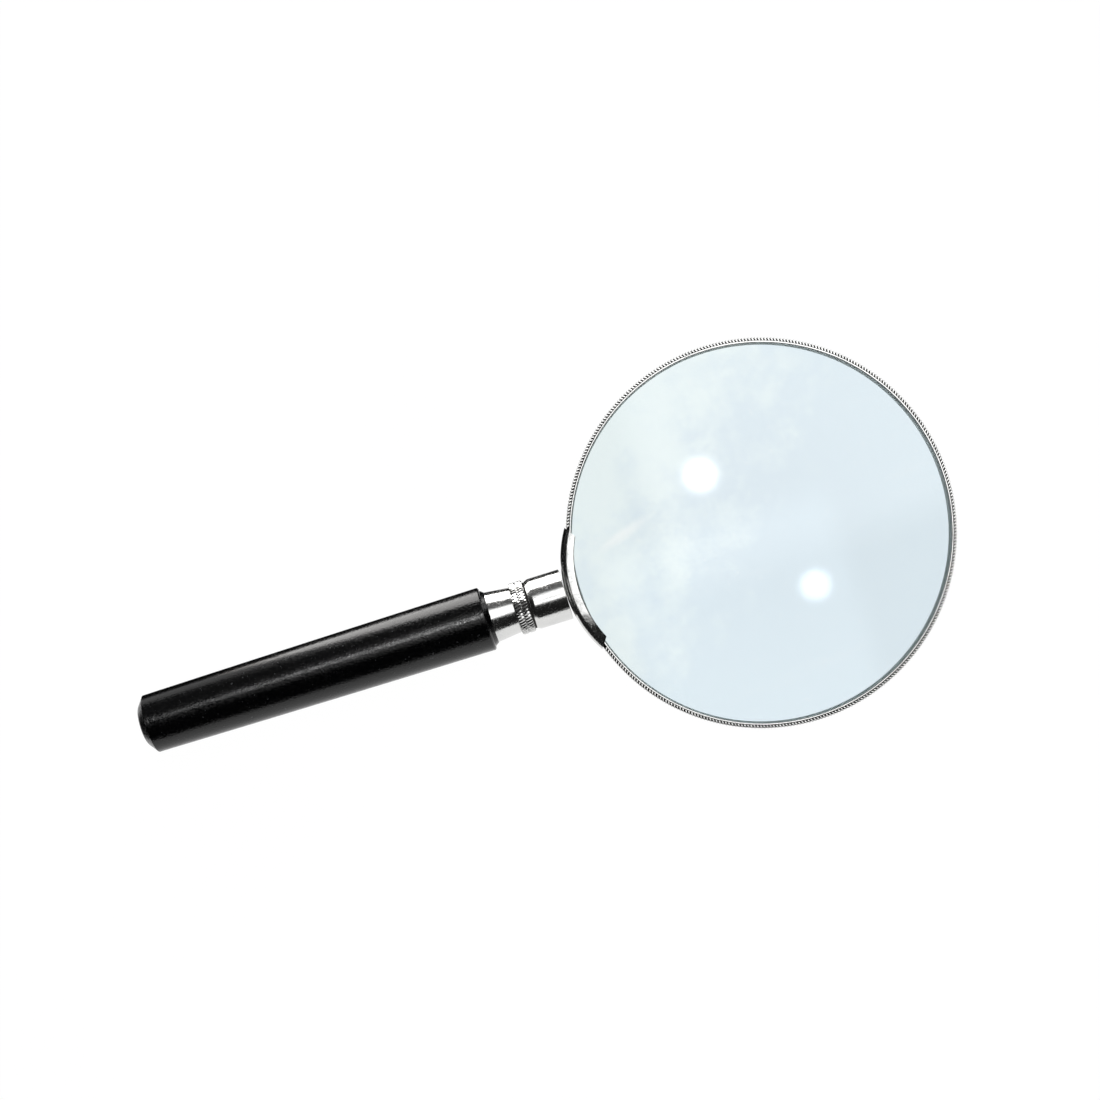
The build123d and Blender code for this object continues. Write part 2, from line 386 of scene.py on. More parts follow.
class Shape(Nodes):
    """A Geometry Nodes tree with named inputs, ending in Realize Instances and Set Material."""

    def __init__(self, name, inputs):
        tree = bpy.data.node_groups.new(name, "GeometryNodeTree")
        super().__init__(tree)
        for key, kind in {**inputs, "Material": "NodeSocketMaterial"}.items():
            tree.interface.new_socket(key, in_out="INPUT", socket_type=kind)
        tree.interface.new_socket("Geometry", in_out="OUTPUT", socket_type="NodeSocketGeometry")
        given = tree.nodes.new("NodeGroupInput")
        self.given = {socket.name: Value(self, socket) for socket in given.outputs if socket.name}

    def vector(self, x=0.0, y=0.0, z=0.0):
        return self.node("ShaderNodeCombineXYZ", sockets={"X": x, "Y": y, "Z": z})

    def moved(self, geometry, shift=(0, 0, 0), turn=(0, 0, 0)):
        sockets = {"Geometry": geometry, "Translation": shift, "Rotation": turn}
        return self.node("GeometryNodeTransform", sockets=sockets)

    def tooth(self, length, width, height, drop, roof):
        """A knurl tooth lying along X: its crest falls away at its ends, and roof peaks it."""
        block = self.node("GeometryNodeMeshCube", sockets={
            "Size": self.vector(length, width, height),
            "Vertices X": 6, "Vertices Y": 3, "Vertices Z": 2,
        })
        place = self.node("GeometryNodeInputPosition")
        x, y, z = (self.node("ShaderNodeSeparateXYZ", None, {0: place}, axis) for axis in "XYZ")
        along = abs(x / length * 2.0)
        across = abs(y / width * 2.0)
        sunk = (along**7.0 + across * roof) * drop * (z > 0.0)
        sockets = {"Geometry": block, "Offset": self.vector(z=-sunk)}
        return self.node("GeometryNodeSetPosition", sockets=sockets)

    def joined(self, *geometries):
        made = self.tree.nodes.new("GeometryNodeJoinGeometry")
        for geometry in geometries:
            self.tree.links.new(geometry.socket, made.inputs[0])
        return Value(self, made.outputs[0])

    def finished(self, geometry):
        """Ends the tree: real faces, shaded smooth, in the given material."""
        real = self.node("GeometryNodeRealizeInstances", sockets={"Geometry": geometry})
        smooth = self.node("GeometryNodeSetShadeSmooth", sockets={"Geometry": real})
        sockets = {"Geometry": smooth, "Material": self.given["Material"]}
        done = self.node("GeometryNodeSetMaterial", sockets=sockets)
        self.node("NodeGroupOutput", sockets={0: done})
        return self.tree


def milled_groove():
    """The bottoms of the cuts: dull plating over the tool marks, painted near-black as shade, with
    a random mottle.
    """
    groove = Finish("milled_groove")
    grain = groove.noise(6.0, 3.0)
    shade_mottle = groove.noise(0.3, 3.0, shift=3.1).between(0.35, 0.7)
    tone = groove.mix(shade_mottle, (0.07, 0.07, 0.067, 1), (0.02, 0.02, 0.018, 1))
    shader = groove.principled({
        "Base Color": tone, "Metallic": 1.0, "Roughness": 0.28 + grain * 0.15,
        "Normal": groove.bump(grain, 4.0),
    })
    return groove.cover(shader)


def milled_edges():
    """Slanting teeth round both faces of a ring, except over a gap on the -X side."""
    shape = Shape("milled_edges", {
        "Count": "NodeSocketInt", "Reach": "NodeSocketFloat", "Top": "NodeSocketFloat",
        "Length": "NodeSocketFloat", "Width": "NodeSocketFloat", "Height": "NodeSocketFloat",
        "Drop": "NodeSocketFloat", "Slant": "NodeSocketFloat", "Gap": "NodeSocketFloat",
        "Centre": "NodeSocketVector",
    })
    given = shape.given
    size = given["Length"], given["Width"], given["Height"]
    tooth = shape.tooth(*size, given["Drop"], RIM_TOOTH_ROOF)
    out = given["Reach"] - given["Length"] * 0.5 * given["Slant"].maths("COSINE")
    up = given["Top"] - given["Height"] * 0.5
    placed = shape.moved(tooth, shape.vector(x=out, z=up), shape.vector(z=given["Slant"]))
    points = shape.node("GeometryNodePoints", sockets={"Count": given["Count"]})
    index = shape.node("GeometryNodeInputIndex")
    angle = (index + 0.5) * math.tau / given["Count"]
    clear = abs(angle - math.pi) > given["Gap"]
    row = shape.node("GeometryNodeInstanceOnPoints", sockets={
        "Points": points, "Selection": clear, "Instance": placed, "Rotation": shape.vector(z=angle),
    })
    both = shape.joined(row, shape.moved(row, turn=(math.pi, 0, 0)))
    return shape.finished(shape.moved(both, given["Centre"]))


def plate(name, low, high, materials):
    """A flat plate between two corners, its edges eased."""
    shape = bmesh.new()
    bmesh.ops.create_cube(shape, size=1.0)
    size = high - low
    middle = (high + low) / 2
    for vert in shape.verts:
        vert.co = Vector((vert.co.x * size.x, vert.co.y * size.y, vert.co.z * size.z)) + middle
    bmesh.ops.bevel(shape, geom=shape.edges, offset=min(size) * 0.2, segments=2, profile=0.5)
    return plain_mesh(name, shape, materials)


chrome = chrome_plate("bright_chrome", 1.0)
rim_low, rim_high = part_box("rim")
RIM_RADIUS = rim_high.y
RIM_HALF = (rim_high.z - rim_low.z) / 2
slope_run, slope_fall = RIM_SLOPE
rim_half = [
    (RIM_HALF - slope_fall, RIM_RADIUS - RIM_PROUD),
    (RIM_HALF - RIM_PROUD, RIM_RADIUS - slope_run),
    (RIM_HALF - RIM_PROUD, RIM_RADIUS - RIM_FLAT),
    (RIM_HALF - RIM_WALL * 0.6, RIM_RADIUS - RIM_LIP),
    (RIM_HALF - RIM_WALL, RIM_RADIUS - RIM_LIP),
    (RIM_HALF - RIM_WALL, RIM_RADIUS - RIM_WALL),
]
rim_outline = rim_half + [(-height, radius) for height, radius in reversed(rim_half)]
# The groove finish paints shade into the cuts between the rim's teeth and between the ring's teeth.
groove = milled_groove()
chrome_and_painted_shade = [chrome, groove]
rim_eased = eased(rim_outline, RIM_EASE, steps=3)
rim = turned("rim_channel", rim_eased, RIM_STEPS, about_lens, chrome_and_painted_shade)
# The rim's sloping outer faces, between its teeth, take the groove finish: painted shade.
for polygon in rim.data.polygons:
    outward = (polygon.center - LENS_CENTRE).xy.normalized()
    if polygon.normal.xy.dot(outward) > 0.3 and abs(polygon.normal.z) > 0.6:
        polygon.material_index = 1
fit(rim, "head", "chrome", "rim")
for side in (-1, 1):
    corner = Vector((rim_low.x, side * RIM_TAB_GAP, LENS_CENTRE.z - RIM_TAB_HALF))
    tab_length = LENS_CENTRE.x - RIM_RADIUS - rim_low.x + RIM_WALL
    opposite = corner + Vector((tab_length, side * RIM_TAB_THICKNESS, 2 * RIM_TAB_HALF))
    low = Vector(min(pair) for pair in zip(corner, opposite))
    high = Vector(max(pair) for pair in zip(corner, opposite))
    tab = plate("rim_tab_far" if side > 0 else "rim_tab_near", low, high, [chrome])
    fit(tab, "head", "chrome")
milling = rebuilt("rim_milling", milled_edges(), {
    "Count": RIM_TEETH, "Reach": RIM_RADIUS + RIM_PROUD, "Top": RIM_HALF + RIM_PROUD,
    "Length": RIM_TOOTH_LENGTH, "Width": RIM_TOOTH_WIDTH, "Height": RIM_TOOTH_HEIGHT,
    "Drop": RIM_TOOTH_DROP, "Slant": RIM_SLANT, "Gap": UNDER_YOKE, "Centre": LENS_CENTRE,
}, chrome)
fit(milling, "head", "chrome")

# ------------------------------------------------------------------ yoke
# A crescent-shaped cap pressed from sheet, which hugs the rim at the neck. Its back wall bulges
# away from the rim, and a lip folds over each face of it. The presswork is a little uneven.
YOKE_SHEET = 0.42 * MM
YOKE_BEND = 1.3 * MM
YOKE_CURVE = 24.0 * MM
YOKE_WIDTH = 2.8 * MM
YOKE_BACK_SPREAD = math.radians(31.9)
YOKE_LIP_SPREAD = math.radians(25.7)
YOKE_DRESSING = 0.4
YOKE_DRESSED_FROM = 0.4
YOKE_LENGTHS = 72
YOKE_BEND_STEPS = 8

yoke_low, yoke_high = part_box("yoke")
YOKE_HALF = (yoke_high.z - yoke_low.z) / 2
YOKE_BACK = yoke_low.x


def yoke_section(depth):
    """One slice through the yoke: (distance in from the back wall, height) points."""

    def bend(radius, low):
        points = []
        for step in range(YOKE_BEND_STEPS + 1):
            angle = math.pi / 2 * step / YOKE_BEND_STEPS
            inward = YOKE_BEND - radius * math.sin(angle)
            height = YOKE_HALF - YOKE_BEND + radius * math.cos(angle)
            points.append((inward, -height if low else height))
        return points[::-1] if low else points

    lip_mid = YOKE_HALF - YOKE_SHEET / 2
    lip_round = depth - YOKE_SHEET * 0.35
    outer = [(lip_round, YOKE_HALF)] + bend(YOKE_BEND, False)
    outer += bend(YOKE_BEND, True) + [(lip_round, -YOKE_HALF)]
    inner_height = YOKE_HALF - YOKE_SHEET
    inner = [(lip_round, inner_height)] + bend(YOKE_BEND - YOKE_SHEET, False)
    inner += bend(YOKE_BEND - YOKE_SHEET, True) + [(lip_round, -inner_height)]
    return outer + [(depth, -lip_mid)] + inner[::-1] + [(depth, lip_mid)]


def on_yoke_arc(setback, swing):
    """A point on the arc of the back wall, or on the lip's, which is set back from it."""
    centre = Vector((YOKE_BACK + YOKE_CURVE + setback, 0, LENS_CENTRE.z))
    return centre + Vector((-math.cos(swing), math.sin(swing), 0)) * YOKE_CURVE


def yoke_slice(share):
    """The section's points in space, at a share of the yoke's length from -1 to 1."""
    back = on_yoke_arc(0.0, YOKE_BACK_SPREAD * share)
    lip = on_yoke_arc(YOKE_WIDTH, YOKE_LIP_SPREAD * share)
    inward = (lip - back).normalized()
    depth = (lip - back).length
    dressed = YOKE_DRESSING * max(0.0, -share - YOKE_DRESSED_FROM)
    points = []
    for along, height in yoke_section(depth):
        height *= 1 - dressed * (depth - along) / YOKE_HALF
        points.append(back + inward * along + Vector((0, 0, height)))
    return points


def pressed_yoke():
    """The yoke's walls, open at both tips, and the points of each slice through it."""
    shape = bmesh.new()
    slices = []
    for index in range(YOKE_LENGTHS + 1):
        share = 2 * index / YOKE_LENGTHS - 1
        slices.append([shape.verts.new(point) for point in yoke_slice(share)])
    for here, there in zip(slices, slices[1:]):
        for index in range(len(here)):
            after = (index + 1) % len(here)
            shape.faces.new((here[index], here[after], there[after], there[index]))
    return shape, slices


def close_tip(shape, ring):
    """Bridges the outer and inner faces of the sheet at one end of the yoke."""
    count = len(ring)
    half = count // 2 - 2
    for index in range(half):
        left = ring[index], ring[index + 1]
        right = ring[(count - 2 - index) % count], ring[(count - 3 - index) % count]
        shape.faces.new((left[0], left[1], right[1], right[0]))
    shape.faces.new((ring[count - 1], ring[0], ring[count - 2]))
    shape.faces.new((ring[half], ring[half + 1], ring[half + 2]))


yoke_shape, yoke_slices = pressed_yoke()
close_tip(yoke_shape, yoke_slices[0])
close_tip(yoke_shape, yoke_slices[-1])
bmesh.ops.recalc_face_normals(yoke_shape, faces=yoke_shape.faces)
pressed_chrome = chrome_plate("pressed_chrome", 6.0)
yoke = plain_mesh("yoke_cap", yoke_shape, [pressed_chrome])
fit(yoke, "head", "chrome", "yoke")

# ------------------------------------------------------------------ neck
# A drawn tube, closed at the yoke, which is brazed to it and chromed with it. A brass disc
# pressed in its mouth centres the stud.
handle_low, handle_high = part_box("handle")
AXIS_Z = (handle_low.z + handle_high.z) / 2


def about_handle(along, radius, angle):
    """A point at a station along the handle and a radius from its axis."""
    return Vector((along, radius * math.sin(angle), AXIS_Z + radius * math.cos(angle)))


SOCKET_WALL = 0.73 * MM
SOCKET_END_WALL = 0.85 * MM
SOCKET_CHAMFER = (0.8 * MM, 0.3 * MM)
SOCKET_END_HOLE = 1.9 * MM
SOCKET_EASE = 0.12 * MM
TURNED_STEPS = 160
socket_low, socket_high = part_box("neck_socket")
socket_radius = socket_high.y
mouth_radius = socket_radius - SOCKET_CHAMFER[1]
socket_bore = socket_radius - SOCKET_WALL
socket_outline = [
    (socket_low.x, socket_bore),
    (socket_low.x, mouth_radius),
    (socket_low.x + SOCKET_CHAMFER[0], socket_radius),
    (socket_high.x, socket_radius),
    (socket_high.x, SOCKET_END_HOLE),
    (socket_high.x - SOCKET_END_WALL, SOCKET_END_HOLE),
    (socket_high.x - SOCKET_END_WALL, socket_bore),
]
socket_eased = eased(socket_outline, SOCKET_EASE)
neck = turned("neck_tube", socket_eased, TURNED_STEPS, about_handle, [chrome])
fit(neck, "head", "chrome", "neck_socket")


def turned_metal(name, light, dark):
    """Bare metal off the lathe: fine rings round the axis and a few darker, duller patches."""
    metal = Finish(name)
    rings = metal.noise(0.02, 2.0, (900.0, 1.0, 1.0))
    patches = metal.noise(0.5, 3.0, shift=1.3).between(0.4, 0.75)
    tone = metal.mix(patches, light, dark)
    shader = metal.principled({
        "Base Color": tone, "Metallic": 1.0, "Roughness": 0.2 + patches * 0.18,
        "Normal": metal.bump(rings, 5.0),
    })
    return metal.cover(shader)


brass = turned_metal("turned_brass", (0.80, 0.62, 0.30, 1), (0.52, 0.37, 0.17, 1))
steel = turned_metal("turned_steel", (0.60, 0.60, 0.61, 1), (0.36, 0.35, 0.34, 1))
for node, metal in (("neck_plug", brass), ("threaded_insert", brass), ("tab_pin", steel)):
    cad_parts[node].data.materials.clear()
    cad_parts[node].data.materials.append(metal)

# ------------------------------------------------------------------ stud
# The steel stud that the whole glass hangs on. Its forked head is pinned to the rim's tabs inside
# the neck, and its shank has a rolled M5 thread that screws into the handle's insert.
PITCH = 0.8 * MM
THREAD_TURNS = 15.5
THREAD_DEPTH = 0.38 * MM
STUD_RADIUS = 2.48 * MM
STUD_LEAD_IN = 0.4 * MM
FORK_FLOOR_BEHIND_PIN = 1.65 * MM
FORK_HALF_GAP = 0.95 * MM
HEAD_CLEARANCE = 0.1 * MM
CHEEK_SUNK = 0.1 * MM
CHEEK_STEPS = 28
STUD_STEPS = 96
stud_low, stud_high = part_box("stud")
plug_low, plug_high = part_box("neck_plug")
pin_low, pin_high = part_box("tab_pin")
head_radius = stud_high.y
head_x = plug_high.x + HEAD_CLEARANCE
fork_x = (pin_low.x + pin_high.x) / 2 - FORK_FLOOR_BEHIND_PIN
core_radius = STUD_RADIUS - THREAD_DEPTH


def rolled_thread():
    """A sharp ridge that winds round the X axis and dies away at both ends."""
    shape = Shape("rolled_thread", {
        "Turns": "NodeSocketFloat", "Pitch": "NodeSocketFloat", "Radius": "NodeSocketFloat",
        "Depth": "NodeSocketFloat", "Start": "NodeSocketVector",
    })
    given = shape.given
    path = shape.node("GeometryNodeCurveSpiral", sockets={
        "Resolution": 40, "Rotations": given["Turns"], "Start Radius": given["Radius"],
        "End Radius": given["Radius"], "Height": given["Turns"] * given["Pitch"],
    })
    level = shape.node("GeometryNodeSetCurveNormal", {"mode": "Z_UP"}, {"Curve": path})
    share = shape.node("GeometryNodeSplineParameter")
    swell = share.between(0.0, 0.07) * (1.0 - share.between(0.95, 1.0))
    profile = shape.node("GeometryNodeCurvePrimitiveCircle", sockets={
        "Resolution": 4, "Radius": given["Depth"],
    })
    ridge = shape.node("GeometryNodeCurveToMesh", sockets={
        "Curve": level, "Profile Curve": profile, "Scale": swell, "Fill Caps": True,
    })
    return shape.finished(shape.moved(ridge, given["Start"], (0, math.pi / 2, 0)))


def add_cheek(shape, side):
    """One side of the fork: a bar with a D-shaped section, standing on the head."""
    opening = math.acos(FORK_HALF_GAP / head_radius)
    ends = []
    for along in (fork_x - CHEEK_SUNK, stud_high.x):
        points = []
        for step in range(CHEEK_STEPS + 1):
            swing = opening * (2 * step / CHEEK_STEPS - 1)
            y = side * head_radius * math.cos(swing)
            points.append(shape.verts.new((along, y, AXIS_Z + head_radius * math.sin(swing))))
        ends.append(points)
    floor_end, open_end = ends
    for step in range(CHEEK_STEPS + 1):
        after = (step + 1) % (CHEEK_STEPS + 1)
        shape.faces.new((floor_end[step], floor_end[after], open_end[after], open_end[step]))
    shape.faces.new(floor_end)
    shape.faces.new(open_end)


stud = turned("forked_stud", [
    (stud_low.x, 0.0),
    (stud_low.x, core_radius - STUD_LEAD_IN),
    (stud_low.x + STUD_LEAD_IN, core_radius),
    (head_x, core_radius),
    (head_x, head_radius),
    (fork_x, head_radius),
    (fork_x, 0.0),
], STUD_STEPS, about_handle, [steel], closed=False)
fork = bmesh.new()
fork.from_mesh(stud.data)
add_cheek(fork, 1)
add_cheek(fork, -1)
bmesh.ops.recalc_face_normals(fork, faces=fork.faces)
fork.to_mesh(stud.data)
fork.free()
stud.data.set_sharp_from_angle(angle=SHARP_ANGLE)
fit(stud, "head", "steel", "stud")
thread = rebuilt("stud_thread", rolled_thread(), {
    "Turns": THREAD_TURNS, "Pitch": PITCH, "Radius": core_radius, "Depth": THREAD_DEPTH,
    "Start": Vector((stud_low.x + STUD_LEAD_IN, 0, AXIS_Z)),
}, steel)
fit(thread, "head", "steel")

# ------------------------------------------------------------------ thrust washer
# A thin washer of pressed black fibre between the neck and the knurled ring. It keeps the two
# chromed faces from biting and travels with the handle as it unscrews.
WASHER_BORE = 2.7 * MM
WASHER_EASE = 0.08 * MM


def pressed_fibre():
    fibre = Finish("black_fibre")
    strands = fibre.noise(4.0, 4.0, (1.0, 1.0, 0.3))
    tone = fibre.mix(strands, (0.012, 0.012, 0.012, 1), (0.05, 0.047, 0.043, 1))
    shader = fibre.principled({
        "Base Color": tone, "Roughness": 0.65 + strands * 0.2, "Normal": fibre.bump(strands, 12.0),
    })
    return fibre.cover(shader)


washer_low, washer_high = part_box("thrust_washer")
washer_outline = [
    (washer_low.x, WASHER_BORE),
    (washer_low.x, washer_high.y),
    (washer_high.x, washer_high.y),
    (washer_high.x, WASHER_BORE),
]
washer_eased = eased(washer_outline, WASHER_EASE)
washer = turned("fibre_washer", washer_eased, STUD_STEPS, about_handle, [pressed_fibre()])
fit(washer, "washer", "black_fibre", "thrust_washer")

# ------------------------------------------------------------------ knurled ring
# A turned brass collar, chromed, pressed on the insert's nose for the fingers to grip. Two rows of
# slightly slanting knurling, with a fine groove between them.
RING_TEETH = 52
RING_TOOTH_LENGTH = 1.24 * MM
RING_TOOTH_WIDTH = 0.48 * MM
RING_TOOTH_HEIGHT = 0.4 * MM
RING_TOOTH_DROP = 0.12 * MM
RING_TOOTH_ROOF = 0.8
RING_ROW_OFFSET = 0.68 * MM
RING_LEAN = math.radians(14)
RING_ROW_PHASES = (0.0, 1.7)
RING_ROOT = 0.16 * MM
RING_EDGE = (0.2 * MM, 0.1 * MM)
RING_GROOVE = (0.12 * MM, 0.14 * MM)
RING_PAINTED_SHADE_DEPTH = 0.15 * MM
RING_FACE = 0.6 * MM
RING_EASE = 0.08 * MM
INSERT_RADIUS = 3.6 * MM


def knurled_rows():
    """Two rows of leaning teeth round the X axis, one each side of the middle."""
    shape = Shape("knurled_rows", {
        "Count": "NodeSocketInt", "Radius": "NodeSocketFloat", "Length": "NodeSocketFloat",
        "Width": "NodeSocketFloat", "Height": "NodeSocketFloat", "Drop": "NodeSocketFloat",
        "Row Offset": "NodeSocketFloat", "Lean": "NodeSocketFloat", "Centre": "NodeSocketVector",
    })
    given = shape.given
    size = given["Length"], given["Width"], given["Height"]
    tooth = shape.tooth(*size, given["Drop"], RING_TOOTH_ROOF)
    up = given["Radius"] - given["Height"] * 0.5
    placed = shape.moved(tooth, shape.vector(z=up), shape.vector(z=given["Lean"]))
    points = shape.node("GeometryNodePoints", sockets={"Count": given["Count"]})
    index = shape.node("GeometryNodeInputIndex")
    angle = index * math.tau / given["Count"]
    rows = []
    for side, phase in zip((-1.0, 1.0), RING_ROW_PHASES):
        row = shape.node("GeometryNodeInstanceOnPoints", sockets={
            "Points": points, "Instance": placed, "Rotation": shape.vector(x=angle + phase),
        })
        rows.append(shape.moved(row, shape.vector(x=given["Row Offset"] * side)))
    return shape.finished(shape.moved(shape.joined(*rows), given["Centre"]))


ring_low, ring_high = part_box("knurled_ring")
ring_radius = ring_high.y
ring_middle = (ring_low.x + ring_high.x) / 2
ring_root = ring_radius - RING_ROOT
edge_run, edge_fall = RING_EDGE
groove_half, groove_depth = RING_GROOVE
ring_outline = [
    (ring_low.x, INSERT_RADIUS),
    (ring_low.x, ring_root - edge_fall),
    (ring_low.x + edge_run, ring_root),
    (ring_middle - groove_half, ring_root),
    (ring_middle, ring_root - groove_depth),
    (ring_middle + groove_half, ring_root),
    (ring_high.x - edge_run, ring_root),
    (ring_high.x, ring_root - edge_fall),
    (ring_high.x, WASHER_BORE),
    (ring_high.x - RING_FACE, WASHER_BORE),
    (ring_high.x - RING_FACE, INSERT_RADIUS),
]
ring_eased = eased(ring_outline, RING_EASE)
collar = turned("ring_collar", ring_eased, TURNED_STEPS, about_handle, chrome_and_painted_shade)
# The collar's outer faces between the knurled teeth take the groove finish: painted shade.
for polygon in collar.data.polygons:
    from_axis = math.hypot(polygon.center.y, polygon.center.z - AXIS_Z)
    if from_axis > ring_root - RING_PAINTED_SHADE_DEPTH and abs(polygon.normal.x) < 0.6:
        polygon.material_index = 1
fit(collar, "grip", "chrome", "knurled_ring")
teeth = rebuilt("ring_knurling", knurled_rows(), {
    "Count": RING_TEETH, "Radius": ring_radius, "Length": RING_TOOTH_LENGTH,
    "Width": RING_TOOTH_WIDTH, "Height": RING_TOOTH_HEIGHT, "Drop": RING_TOOTH_DROP,
    "Row Offset": RING_ROW_OFFSET, "Lean": RING_LEAN, "Centre": Vector((ring_middle, 0, AXIS_Z)),
}, chrome)
fit(teeth, "grip", "chrome")

# ------------------------------------------------------------------ ferrule
# A tapered collar drawn from thin brass and chromed. Its skirt is sunk in the moulded handle and
# its small end is turned in over the threaded insert.
FERRULE_SHEET = 0.5 * MM
FERRULE_TAPER = 0.55 * MM
FERRULE_EASE = 0.15 * MM
BEVEL_TOP_X = handle_low.x + 73.0 * MM
ferrule_low, ferrule_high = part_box("ferrule")
ferrule_wide = ferrule_high.y
ferrule_narrow = ferrule_wide - FERRULE_TAPER
ferrule_outline = [
    (ferrule_high.x, INSERT_RADIUS),
    (ferrule_high.x, ferrule_narrow),
    (BEVEL_TOP_X, ferrule_wide),
    (ferrule_low.x, ferrule_wide),
    (ferrule_low.x, ferrule_wide - FERRULE_SHEET),
    (BEVEL_TOP_X, ferrule_wide - FERRULE_SHEET),
    (ferrule_high.x - FERRULE_SHEET, ferrule_narrow - FERRULE_SHEET),
    (ferrule_high.x - FERRULE_SHEET, INSERT_RADIUS),
]
ferrule_eased = eased(ferrule_outline, FERRULE_EASE)
ferrule = turned("tapered_ferrule", ferrule_eased, TURNED_STEPS, about_handle, [chrome])
fit(ferrule, "grip", "chrome", "ferrule")

# ------------------------------------------------------------------ handle
# The grip, moulded in one piece from black plastic round the ferrule and insert. It is slightly
# crowned and tapers towards the butt, which has a broad chamfer. Use has left it softly scuffed.
PLASTIC_IOR = 1.45
BUTT_RADIUS = 5.9 * MM
BUTT_DISC = 2.0 * MM
BUTT_CHAMFER = 2.2 * MM
BUTT_CHAMFER_LENGTH = 1.7 * MM
BUTT_EASE = 1.0 * MM
GRIP_MIDDLE_RADIUS = 6.25 * MM
GRIP_STEPS = 48
SHOULDER = 0.3 * MM
SHOULDER_EASE = 0.2 * MM
TOP_BEVEL_LENGTH = 0.9 * MM
TOP_BEVEL_RADIUS = 5.8 * MM
INSERT_SUNK = 12.3 * MM


def moulded_black():
    """Gloss black plastic, rubbed to a soft sheen, with fine scuffs that catch the light."""
    plastic = Finish("moulded_black_plastic")
    rub = plastic.noise(0.35, 4.0, (0.5, 1.0, 1.0), 0.65).between(0.3, 0.7)
    rings = plastic.noise(3.0, 2.0, (1.0, 0.06, 0.06), 0.6, 0.9)
    speckle = plastic.noise(2.3, 1.0, shift=7.7).between(0.4, 0.6)
    grain = plastic.noise(2.4, 2.0, roughness=0.6, shift=4.2)
    scuffs = plastic.noise(1.6, 5.0, (0.4, 1.5, 1.5), 0.7, 2.3).between(0.6, 0.74)
    dust = plastic.noise(2.0, 1.0, shift=5.7).between(0.73, 0.77)
    worn = plastic.mix(scuffs, (0.0006, 0.0007, 0.001, 1), (0.006, 0.0062, 0.0068, 1))
    tone = plastic.mix(dust, worn, (0.06, 0.063, 0.066, 1))
    shader = plastic.principled({
        "Base Color": tone, "IOR": PLASTIC_IOR,
        "Roughness": 0.09 + rub * 0.04 + speckle * 0.15 + scuffs * 0.1,
        "Normal": plastic.bump(rings + grain * 3.6 + scuffs * 0.2, 11.0),
    })
    return plastic.cover(shader)


handle_widest = handle_high.y
top_x = BEVEL_TOP_X - TOP_BEVEL_LENGTH
chamfer_x = handle_low.x + BUTT_CHAMFER_LENGTH
grip_end_x = top_x - SHOULDER


def grip_radius(along):
    """Radius of the crowned grip between its chamfer and its top shoulder."""
    share = (along - chamfer_x) / (grip_end_x - chamfer_x)
    straight = BUTT_RADIUS + (handle_widest - BUTT_RADIUS) * share
    crown = GRIP_MIDDLE_RADIUS - (BUTT_RADIUS + handle_widest) / 2
    return straight + crown * 4 * share * (1 - share)


butt_flat = [(handle_low.x, 0.0)] + eased([
    (handle_low.x, BUTT_DISC),
    (handle_low.x, BUTT_RADIUS - BUTT_CHAMFER),
    (chamfer_x, BUTT_RADIUS),
], BUTT_EASE, closed=False, steps=8)
grip = []
for step in range(1, GRIP_STEPS):
    along = chamfer_x + (grip_end_x - chamfer_x) * step / GRIP_STEPS
    grip.append((along, grip_radius(along)))
shoulder = eased([
    (grip_end_x, handle_widest),
    (top_x, handle_widest - SHOULDER),
    (top_x, TOP_BEVEL_RADIUS),
    (BEVEL_TOP_X, ferrule_wide),
    (BEVEL_TOP_X, ferrule_wide - FERRULE_SHEET),
], SHOULDER_EASE, closed=False)
tenon = [
    (ferrule_high.x - FERRULE_SHEET, ferrule_narrow - FERRULE_SHEET),
    (ferrule_high.x - FERRULE_SHEET, INSERT_RADIUS),
    (ferrule_high.x - INSERT_SUNK, INSERT_RADIUS),
    (ferrule_high.x - INSERT_SUNK, 0.0),
]
handle = turned(
    "black_grip", butt_flat + grip + shoulder + tenon, TURNED_STEPS, about_handle,
    [moulded_black()], closed=False,
)
fit(handle, "grip", "black_plastic", "handle")

# ------------------------------------------------------------------ floor, lights and camera
# A plain pale table, lit softly from above and from two long low boxes, one on each side. The
# camera hangs straight above, turned so that the handle runs up from the lower left.
FLOOR_HALF = 30.0
CAMERA_HEIGHT = 0.4
CAMERA_VIEW = 0.22
CAMERA_TURN = math.radians(-17.38)
CAMERA_X = 4.0 * MM
CAMERA_Y = 9.33 * MM


def pale_floor():
    """A smooth white sheet, lit from below, which leaves almost no shadows."""
    sheet = Finish("pale_floor")
    cloud = sheet.noise(0.01, 2.0)
    glow = sheet.mix(cloud, (0.985, 0.985, 0.985, 1), (1.0, 1.0, 1.0, 1))
    shader = sheet.principled({
        "Base Color": (0.05, 0.05, 0.05, 1), "Roughness": 0.9, "Specular IOR Level": 0.0,
        "Emission Color": glow, "Emission Strength": 1.0,
    })
    return sheet.cover(shader)


floor_shape = bmesh.new()
bmesh.ops.create_grid(floor_shape, x_segments=1, y_segments=1, size=FLOOR_HALF)
floor = plain_mesh("floor", floor_shape, [pale_floor()])


def softbox(name, at, towards, width, height, radiance):
    """A rectangular light with this brightness on its face, looking at a point."""
    light = bpy.data.lights.new(name, "AREA")
    light.shape = "RECTANGLE"
    light.size = width
    light.size_y = height
    light.energy = radiance * width * height * math.pi
    box = bpy.data.objects.new(name, light)
    box.location = at
    box.rotation_euler = (Vector(towards) - Vector(at)).to_track_quat("-Z", "Y").to_euler()
    box.visible_camera = False
    bpy.context.scene.collection.objects.link(box)
    return box


